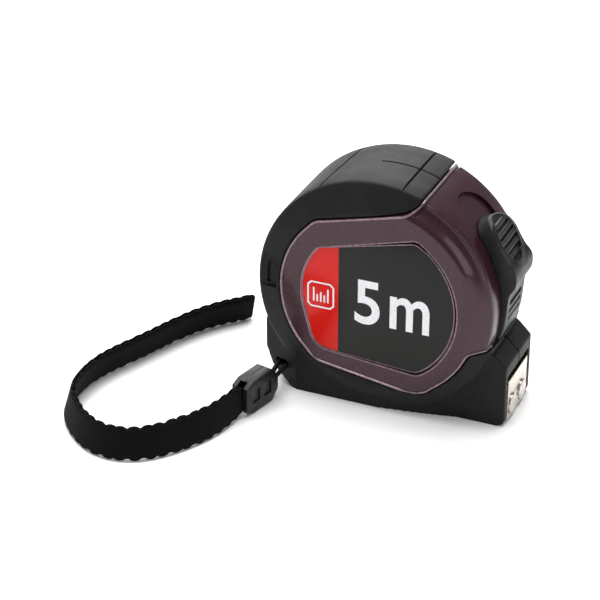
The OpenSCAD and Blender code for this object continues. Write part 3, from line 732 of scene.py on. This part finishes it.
# The round body, whose profile turns from the first line to the second by the share at each angle
def roundBody(name, steps, first, second, share):
    half = [(p.x, p.y) for p in first]
    piece = turned(name, half + [(r, -y) for r, y in reversed(half[:-1])], steps)
    places = {(round(p.x, 2), round(p.y, 2)): i for i, p in enumerate(first)}
    for corner in piece.data.vertices:
        x, y, z = corner.co.x / mm, corner.co.y / mm, corner.co.z / mm - reelZ
        r = math.hypot(x, z)
        i = places.get((round(r, 2), round(abs(y), 2)))
        if i is None or r < 1:
            continue
        moved = first[i].lerp(second[i], share(math.degrees(math.atan2(z, x))))
        corner.co = (x * moved.x / r * mm, math.copysign(moved.y, y) * mm,
                     (z * moved.x / r + reelZ) * mm)
    return piece


# The flat-bottomed block under the round body, with the nose
def baseBlock(name, inset):
    rear, front, noseH, cut = -base["rearX"], noseX - inset, case["noseH"], case["chamfer"]
    (heelIn, heelTop), (cornerIn, cornerTop), (soleIn, sole) = base["heel"]
    toe = cornerArc((front, 10), (front, inset), (0, inset), base["toeRound"])
    side = ([(rear + inset, base["rearH"]), (rear + heelIn + inset, heelTop),
             (rear + cornerIn + inset * 0.8, cornerTop), (rear + soleIn, sole + inset)] + toe[::-1]
            + [(front, noseH - cut - inset * 0.4), (noseX - cut - inset * 0.4, noseH - inset),
               (noseX - case["noseTop"], noseH - inset), (0, reelZ)])
    piece = prism(name, side, -halfW, halfW)
    rim, wide = base["rimHalf"] - inset, base["baseHalf"] - inset
    narrow = base["noseHalf"] - min(inset, 1)
    first, second, third, fourth, fifth = base["widthAt"]
    half = [(-caseR, rim - base["rearNarrow"]), (rear + first, rim), (rear + second, wide),
            (third, wide), (fourth, rim), (fifth, narrow), (noseX + 1, narrow)]
    plan = half + [(x, -y) for x, y in reversed(half)]
    rings = [[(x, y, z) for x, y in plan] for z in (-5, reelZ + 1)]
    return carved(piece, swept("plan", rings), "INTERSECT")


# What the blade and hook pass through, and the track of the button
def mouthCutters():
    floor, top, half = bladeLow.z - case["bladeRoom"], case["mouthTop"], case["mouthHalf"]
    front, roof, side = noseX - 4, top + case["brakeUp"], case["hookRoom"]
    room = [(20, floor), (front, floor), (front, top + 2), (front - 3, roof), (24, roof)]
    return [block("mouth", (case["mouthFrom"], -half, floor), (noseX + 5, half, top)),
            prism("brakeRoom", room, -case["brakeHalf"], case["brakeHalf"]),
            block("hookRecess", (hookHigh.x - 1.15, hookLow.y - side, -2),
                  (noseX + 5, hookHigh.y + side, top))]


# What lies below an angle over the front and ends in a half circle there, seen along the radius
def archedPlan(name, half, end):
    middle = end - math.degrees(math.asin(half / (caseR - 2)))
    low, high = at(middle, caseR - 6), at(middle, caseR + 22)
    plan = rod(name, (low[0], 0, low[1]), (high[0], 0, high[1]), half, 64)
    foot, tip = at(-30, 2 * caseR), at(middle, 2 * caseR)
    side = [(0, reelZ), foot, (2 * caseR, foot[1]), (2 * caseR, tip[1]), tip]
    return carved(plan, prism("below", side, -half, half), "UNION")


def trackCutter():
    inner, outer = arc(caseR - 2, -18, 60, 40), arc(caseR + 20, 60, -18, 12)
    wide = case["trackHalf"] + 1
    return carved(prism("track", inner + outer, -wide, wide),
                  archedPlan("trackPlan", case["trackHalf"], case["trackTop"]), "INTERSECT")


# The hole that the cord goes into, round its pin
def pocketCutter():
    low, high = boxOf("anchor_rod")
    middle, reach, tall = (low + high) / 2, case["pocketReach"], case["pocketHalf"]
    return block("pocket", (middle.x - reach, -halfW - 5, middle.z - tall),
                 (middle.x + reach, middle.y + reach, middle.z + tall))


grip = {
    "voxel": 0.4, "passes": 3, "deep": 1.0, "half": 0.38, "partingDeep": 0.7,
    # creases over the rim: their angle at the near and at the far side
    "creases": [(121, 113), (78.5, 78.5)],
    "partingFrom": 97, "partingTo": 66,
    # sunk panel on each rear bevel and the slot in it: angles, radii and distance from the middle
    "recess": [(166, 184, 31.2, 36.6, 16.1), (170, 182, 33.6, 34.8, 15.3)],
}


# A V-shaped cutter along places, each given as a point and the way out of the surface there
def grooveCutter(name, places, across, deep, half):
    rings = []
    for point, out in places:
        point, out = Vector(point), Vector(out).normalized()
        rings.append([point - out * deep, point + out * deep - Vector(across) * half * 2,
                      point + out * deep + Vector(across) * half * 2])
    return swept(name, rings)


# Across the rim, from the near side to the far one
def creaseCutter(nearAngle, farAngle):
    places = []
    for y, angle in ((-halfW - 1, nearAngle), (halfW + 1, farAngle)):
        x, z = at(angle, caseR)
        places.append(((x, y, z), (x, 0, z - reelZ)))
    way = math.radians(nearAngle + 90)
    across = (math.cos(way), 0, math.sin(way))
    return grooveCutter("crease", places, across, grip["deep"], grip["half"])


# Along the joint of the halves, over the top and over the nose
def partingCutters():
    top = []
    for i in range(25):
        x, z = at(grip["partingFrom"] + (grip["partingTo"] - grip["partingFrom"]) * i / 24, caseR)
        top.append(((x, 0, z), (x, 0, z - reelZ)))
    noseH, cut = case["noseH"], case["chamfer"]
    nose = [((noseX - case["noseTop"] - 2, 0, noseH), (0, 0, 1)),
            ((noseX - cut, 0, noseH), (0.4, 0, 0.9)), ((noseX, 0, noseH - cut), (0.9, 0, 0.4)),
            ((noseX, 0, noseH - cut - 4), (1, 0, 0))]
    return [grooveCutter("parting", line, (0, 1, 0), grip["partingDeep"], grip["half"])
            for line in (top, nose)]


def makeGrips():
    body = roundBody("grips", case["gripSteps"], lines["rubber"], lines["rear"], rearShare)
    carved(body, baseBlock("base", 0), "UNION")
    carved(body, block("under", (-90, -40, -20), (90, 40, 0)))
    zone = grown(plumOutline(), case["gap"])
    carved(body, prism("zone", zone, -halfW - 5, halfW + 5))
    for cutter in mouthCutters() + [trackCutter(), pocketCutter()]:
        carved(body, cutter)
    melted(body, grip["voxel"], grip["passes"])
    for near, far in grip["creases"]:
        carved(body, creaseCutter(near, far))
    for cutter in partingCutters():
        carved(body, cutter)
    for start, end, low, high, floor in grip["recess"]:
        outline = arc(low, start, end, 6) + arc(high, end, start, 6)
        for side in (-1, 1):
            carved(body, prism("recess", outline, *sorted((side * floor, side * (halfW + 2)))))
    carved(body, coreBody(case["skin"]))
    return body


# The block that the grips lie on: the body, smaller all round
def coreBody(inset):
    flat, rim = halfW - inset, caseR - inset
    half = [(0, flat), (28.5, flat), (rim - 1.6, 13), (rim, 10), (rim, 0)]
    piece = turned("core", half + [(r, -y) for r, y in reversed(half[:-1])], case["coreSteps"])
    carved(piece, baseBlock("coreBase", inset), "UNION")
    return carved(piece, block("under", (-90, -40, -20), (90, 40, inset)))


# The near half and the far half of a piece that was made whole
def halved(piece, nearName, farName):
    far = linked(farName, piece.data.copy())
    carved(piece, block("far", (-150, 0, -50), (150, 90, 150)))
    carved(far, block("near", (-150, -90, -50), (150, 0, 150)))
    piece.name = nearName
    return piece, far


nearGrip, farGrip = halved(makeGrips(), "left_grip_rubber", "right_grip_rubber")
for piece, node in ((nearGrip, "left_grip"), (farGrip, "right_grip")):
    finished(piece, node + "_rubber", rubber, "case", [node], 40)
print("grips made,", len(nearGrip.data.polygons), "faces")


label = {
    "redTo": -10.9, "lift": 0.03, "inset": 0.8, "thick": 0.6, "edge": 0.12,
    # each mark: its text and its box as X from, X to, Z from, Z to on the near label
    "marks": [("5", (-5.6, 2.4), (28.9, 43.7)), ("m", (5.6, 18.1), (29.4, 40.4))],
    "farMarks": [("5", (23.5, 18.5), (32.5, 41.5)), ("m", (17, 9.6), (32.5, 39.2))],
}
# Radii of the beads along the seam and the opening, the opening's gap and depth, the groove
# beside the seam, and the hollow inside
shell = {"seam": 0.36, "seamIn": 0.35, "lip": 0.26, "lipDown": 0.14, "bead": 0.26, "beadDown": 0.6,
         "opening": 0.35, "openDeep": 1.2, "groove": 0.42, "grooveIn": 1.35, "grooveFrom": 32.6,
         "cavityR": 33.5, "cavityHalf": 15.3, "cavitySteps": 96}


# The line where plum meets rubber, from the top of the rim round to the front, on one side
def seamPath(side, inwards, fromRadius=0):
    outline = walked(grown(plumOutline()[1:-1], -inwards, closed=False), 0.6)[::-1]
    points = []
    for x, z in outline:
        r = math.hypot(x, z - reelZ)
        if fromRadius < r < lines["plum"][-1].x - 0.02:
            angle = math.degrees(math.atan2(z - reelZ, x))
            points.append((x, side * sideAt(r, angle), z))
        elif r < fromRadius and points:
            break
    top = points[0]
    across = [(top[0], side * abs(top[1]) * i / 8, top[2]) for i in range(8)]
    return across + points


def makeShells():
    body = roundBody("shells", case["shellSteps"], lines["plum"], lines["valley"], valleyShare)
    carved(body, baseBlock("base", 0), "UNION")
    carved(body, prism("zone", plumOutline(), -halfW - 5, halfW + 5), "INTERSECT")
    carved(body, coreBody(case["skin"]), "UNION")
    for side in (-1, 1):
        opening = grown(labelOutline(), shell["opening"])
        deep = sorted((side * (halfW + 1), side * (halfW - shell["openDeep"])))
        carved(body, prism("opening", opening, *deep))
        path = seamPath(side, shell["grooveIn"], shell["grooveFrom"])
        carved(body, tube("groove", path, shell["groove"]))
    hollow = [(0, shell["cavityHalf"]), (shell["cavityR"] - 8, shell["cavityHalf"]),
              (shell["cavityR"], 11), (shell["cavityR"], 0)]
    carved(body, turned("hollow", hollow + [(r, -y) for r, y in reversed(hollow[:-1])],
                        shell["cavitySteps"]))
    for cutter in mouthCutters() + [trackCutter(), pocketCutter()]:
        carved(body, cutter)
    return body


nearShell, farShell = halved(makeShells(), "left_shell_plum", "right_shell_plum")
for piece, side, node in ((nearShell, -1, "left_shell"), (farShell, 1, "right_shell")):
    beads = []
    for key, outline, out in (("lip", labelOutline(), shell["opening"]),
                              ("bead", labelOutline(label["inset"]), 0.1)):
        y = side * (halfW - shell[key + "Down"])
        path = [(x, y, z) for x, z in walked(grown(outline, out), 1.5, True)]
        beads.append(tube(key, path, shell[key], True))
    beads.append(tube("seam", seamPath(side, shell["seamIn"]), shell["seam"]))
    plain = len(piece.data.polygons)
    joined(piece, *beads)
    finished(piece, node + "_plum", plumPaint, "case", [node], 32)
    # the beads take the paler lacquer: a painted highlight along the lips and the seam
    piece.data.materials.append(plumEdgeHighlight)
    for face in piece.data.polygons:
        face.material_index = 1 if face.index >= plain else 0
print("shells made,", len(nearShell.data.polygons), "faces")


# Lettering as a mesh, fitted to its box. xs runs the way the text reads
def printed(name, text, xs, zs, y, facing):
    data = bpy.data.curves.new(name, "FONT")
    data.body = text
    data.size = 10 * mm
    data.offset = 0.15 * mm
    data.resolution_u = 8
    data.extrude = 0.02 * mm
    piece = linked(name, data)
    pickOnly(piece)
    bpy.ops.object.convert(target="MESH")
    flat = [corner.co.copy() for corner in piece.data.vertices]
    lowX, highX = min(p.x for p in flat), max(p.x for p in flat)
    lowY, highY = min(p.y for p in flat), max(p.y for p in flat)
    for corner, p in zip(piece.data.vertices, flat):
        x = xs[0] + (xs[1] - xs[0]) * (p.x - lowX) / (highX - lowX)
        z = zs[0] + (zs[1] - zs[0]) * (p.y - lowY) / (highY - lowY)
        corner.co = (x * mm, y * mm + p.z * -facing, z * mm)
    editAll(piece)
    bpy.ops.mesh.remove_doubles(threshold=0.000001)
    leaveEdit()
    return piece


# A plain mark of rule ticks in a frame
emblem = {"at": (-16.6, 35.7), "half": 4.1, "line": 0.28, "flat": 0.1, "pitch": 1.15,
          "tickWide": 0.5, "tickThick": 0.03, "foot": 2.3, "left": 2.5,
          "ticks": (4.6, 2.4, 3.3, 2.4, 4.6)}


def makeEmblem(y):
    x, z = emblem["at"]
    turns = ((-0.75, -1), (0.75, -1), (1, -0.75), (1, 0.75), (0.75, 1), (-0.75, 1), (-1, 0.75),
             (-1, -0.75))
    outline = [(x + emblem["half"] * cx, y, z + emblem["half"] * cz) for cx, cz in turns]
    pieces = [tube("emblemFrame", outline, emblem["line"], True)]
    low, thick = z - emblem["foot"], emblem["tickThick"]
    for i, tall in enumerate(emblem["ticks"]):
        left = x - emblem["left"] + i * emblem["pitch"]
        pieces.append(block("tick", (left, y - thick, low),
                            (left + emblem["tickWide"], y + thick, low + tall)))
    for corner in pieces[0].data.vertices:
        corner.co.y = y * mm + (corner.co.y - y * mm) * emblem["flat"]
    return joined(*pieces)


def makeLabel(side, node, name, marks):
    y = side * abs(labelY)
    plate = prism(name, labelOutline(label["inset"]), *sorted((y - side * label["thick"], y)))
    rounded(plate, label["edge"], 2, 60)
    finished(plate, name, labelFilm(label["redTo"]), "case", [node], 30)
    face = y + side * label["lift"]
    pieces = [printed("mark", text, xs, zs, face, side) for text, xs, zs in marks]
    if side < 0:
        pieces.append(makeEmblem(face))
    prints = joined(*pieces)
    finished(prints, name + "_print", inkWhite, "case", [], 30)


makeLabel(-1, "left_label", "left_label_film", label["marks"])
makeLabel(1, "right_label", "right_label_film", label["farMarks"])
print("labels made")


button = {
    "half": 8, "to": 43, "round": 1.5, "voxel": 0.24, "passes": 5,
    "padHalf": 5.9, "padFrom": 19.5, "padTo": 40.5, "padDeep": 0.9, "padUp": 3.0,
    "ridges": [22.6 + 3.6 * i for i in range(5)], "ridgeR": 0.85,
    "foot": -14.8, "clear": 0.15, "rim": 0.45, "rimOut": 1.04, "ridgeDown": 0.55, "padRoom": 9,
    # slots across the lower face: their angles, half length, radius and height
    "slots": (-5.5, -1.5, 2.5), "slotHalf": 5.2, "slotR": 0.75, "slotUp": 0.7,
    # outer outline as angle and height over the case's radius
    "top": [(43.4, -1.2), (42.6, 0.6), (41.2, 1.9), (39, 2.7), (36, 3.0), (31, 3.1), (26, 3.2),
            (22, 3.6), (19.5, 4.4), (17, 4.75), (14.5, 4.4), (12.3, 3.9), (10.5, 3.1), (9, 2.1),
            (7, 1.3), (4, 0.9), (-7, 0.4), (-14.8, 0.1)],
}


def makeButton():
    inner = arc(caseR - 2 + button["clear"], button["foot"], button["top"][0][0], 32)
    crest = splined([at(angle, caseR + up) for angle, up in button["top"]], 4)
    body = prism("button", inner + [(p.x, p.y) for p in crest], -button["half"], button["half"])
    carved(body, archedPlan("buttonPlan", button["half"], button["to"]), "INTERSECT")
    rounded(body, button["round"], 4, 50)
    # the thumb pad: a sunk oval with ribs across
    middle = (button["padFrom"] + button["padTo"]) / 2
    padR = caseR + button["padUp"]
    reach = math.radians(button["padTo"] - button["padFrom"]) / 2 * padR
    along = at(middle + 90, 1)
    way = (along[0], along[1] - reelZ)
    rings = []
    for x, z in (at(middle, padR - button["padDeep"]), at(middle, caseR + button["padRoom"])):
        ring = []
        for k in range(40):
            a = 2 * math.pi * k / 40
            ring.append((x + way[0] * reach * math.cos(a), button["padHalf"] * math.sin(a),
                         z + way[1] * reach * math.cos(a)))
        rings.append(ring)
    carved(body, swept("pad", rings))
    rim = []
    for k in range(64):
        a = 2 * math.pi * k / 64
        angle = middle + math.degrees(reach * button["rimOut"] * math.cos(a) / padR)
        x, z = at(angle, crestAt(angle, crest) - 0.1)
        rim.append((x, (button["padHalf"] + 0.3) * math.sin(a), z))
    carved(body, tube("rim", rim, button["rim"], True), "UNION")
    for angle in button["ridges"]:
        off = (angle - middle) / (button["padTo"] - middle)
        half = button["padHalf"] * math.sqrt(max(0.05, 1 - off * off)) - 0.4
        x, z = at(angle, padR - button["ridgeDown"])
        carved(body, rod("ridge", (x, -half, z), (x, half, z), button["ridgeR"], 20), "UNION")
    reach = button["slotHalf"]
    for angle in button["slots"]:
        x, z = at(angle, caseR + button["slotUp"])
        carved(body, rod("slot", (x, -reach, z), (x, reach, z), button["slotR"], 20))
    melted(body, button["voxel"], button["passes"])
    return body


# Height of the button's crest over the reel's axis at an angle
def crestAt(angle, crest):
    best = min(crest, key=lambda p: abs(math.degrees(math.atan2(p.y - reelZ, p.x)) - angle))
    return math.hypot(best.x, best.y - reelZ)


finished(makeButton(), "lock_button_ribbed", buttonBlack, "lock", ["lock_button"],
         45)
print("button made")


# Width of each broken edge, and its segments
hook = {"plate": (0.18, 2), "magnets": (0.3, 3), "rivets": (0.15, 2)}


def makeHook():
    for key, node, name, body in (("plate", "end_hook", "end_hook_plate", "hook"),
                                  ("magnets", "hook_magnets", "hook_magnet_discs", "hook"),
                                  ("rivets", "hook_rivets", "hook_rivet_heads", "blade")):
        piece = softCopy(node, name, *hook[key])
        finished(piece, name, nickel, body, [node])


makeHook()
print("hook made")


blade = {"half": 9.5, "thick": 0.2, "curve": 18, "flatTo": 2, "curvedFrom": 13, "rings": 60}


# The hollow strip from the reel to the hook; its middle lies lowest
def makeBlade():
    start, end = bladeLow.x, bladeHigh.x
    rings = []
    for i in range(blade["rings"] + 1):
        x = start + (end - start) * i / blade["rings"]
        share = smoothStep(blade["flatTo"], blade["curvedFrom"], x)
        top, under = [], []
        for k in range(21):
            y = -blade["half"] + 2 * blade["half"] * k / 20
            rise = (blade["curve"] - math.sqrt(blade["curve"] ** 2 - y * y)) * share
            under.append((x, y, bladeLow.z + rise))
            top.append((x, y, bladeLow.z + blade["thick"] + rise))
        rings.append(under + top[::-1])
    piece = swept("blade_strip", rings)
    piece.data.materials.append(bladeYellow)
    pickOnly(piece)
    bpy.ops.object.shade_smooth_by_angle(angle=math.radians(40))
    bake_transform(piece)
    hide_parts("blade_tongue")


makeBlade()
print("blade made")


fasteners = {"clip": (0.3, 3), "clipScrew": (0.25, 3), "caseScrews": (0.18, 2)}


def makeFasteners():
    for key, node, name, metal, slotName in (
            ("clip", "belt_clip", "belt_clip_strip", clipChrome, "clip_steel"),
            ("clipScrew", "clip_screw", "clip_screw_head", zinc, "zinc_steel"),
            ("caseScrews", "case_screws", "case_screw_set", zinc, "zinc_steel")):
        piece = softCopy(node, name, *fasteners[key])
        finished(piece, name, metal, "case", [node])


makeFasteners()
print("fasteners made")


# Finishes of the CAD parts that stay
finishes = {
    "mouth_guide": acetal, "hook_bumper": rubber, "spindle": zinc, "reel_drum": polystyrene,
    "reel_cover": polystyrene, "power_spring": springBlue, "blade_coil": bladeYellow,
    "brake_arm": acetal, "brake_pad": rubber, "detent_spring": springBlue, "anchor_rod": zinc,
}
for node, material in finishes.items():
    if not nodes[node].material_slots:
        nodes[node].data.materials.append(material)
    for slotHere in nodes[node].material_slots:
        slotHere.material = material
print("inner parts painted")


# Floor and studio, in metres: where each light stands, its size and its power in watts
stage = {
    "floor": 6, "aim": (0, 0, 0.03), "world": 0.32,
    "lights": {
        "overhead": ((-0.15, 0.15, 1.0), (1.0, 0.8), 18),
        "back": ((-0.35, 0.8, 0.5), (0.8, 0.5), 5.5),
        "frontLeft": ((-0.55, -0.75, 0.5), (0.5, 0.5), 1.15),
        "right": ((0.9, -0.2, 0.45), (0.4, 0.7), 2),
    },
}


def addLight(name, where, size, power):
    data = bpy.data.lights.new(name, "AREA")
    data.shape = "RECTANGLE"
    data.size, data.size_y = size
    data.energy = power
    light = linked(name, data)
    light.location = where
    look = Vector(stage["aim"]) - Vector(where)
    light.rotation_euler = look.to_track_quat("-Z", "Y").to_euler()


def makeStage():
    bpy.ops.mesh.primitive_plane_add(size=stage["floor"], location=(0, 0, 0))
    floor = bpy.context.object
    floor.name = "floor"
    floor.data.materials.append(paper)
    world = bpy.data.worlds.new("studio")
    bpy.context.scene.world = world
    world.use_nodes = True
    sky = world.node_tree.nodes["Background"].inputs
    sky["Color"].default_value = (1, 1, 1, 1)
    sky["Strength"].default_value = stage["world"]
    for name, settings in stage["lights"].items():
        addLight(name, *settings)


makeStage()
bpy.context.scene.view_settings.view_transform = "Standard"
bpy.ops.object.select_all(action="DESELECT")
